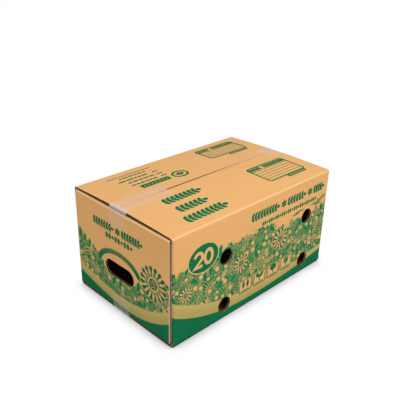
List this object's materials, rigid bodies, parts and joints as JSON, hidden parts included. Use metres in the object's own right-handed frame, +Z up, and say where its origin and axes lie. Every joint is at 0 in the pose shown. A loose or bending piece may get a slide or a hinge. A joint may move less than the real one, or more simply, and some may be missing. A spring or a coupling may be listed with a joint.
{
  "type": "corrugated slotted carton",
  "caption": "Closed slotted carton of corrugated board with hand holes in its ends and round vents in its sides, taped shut along the middle seams.",
  "frame": {"origin": "middle of the base, on the surface that the carton stands on", "axes": "+X along the long panels, -Y out of the long panel with the glued corner at its left, +Z up"},
  "size_m": [0.4384, 0.278, 0.2215],
  "materials": {
    "board": "matte kraft board with green and olive print",
    "tape": "thin translucent film"
  },
  "bodies": {
    "root": {"carton": "board", "tape_top_left": "tape", "tape_top_right": "tape", "tape_base_left": "tape", "tape_base_right": "tape"}
  },
  "joints": []
}
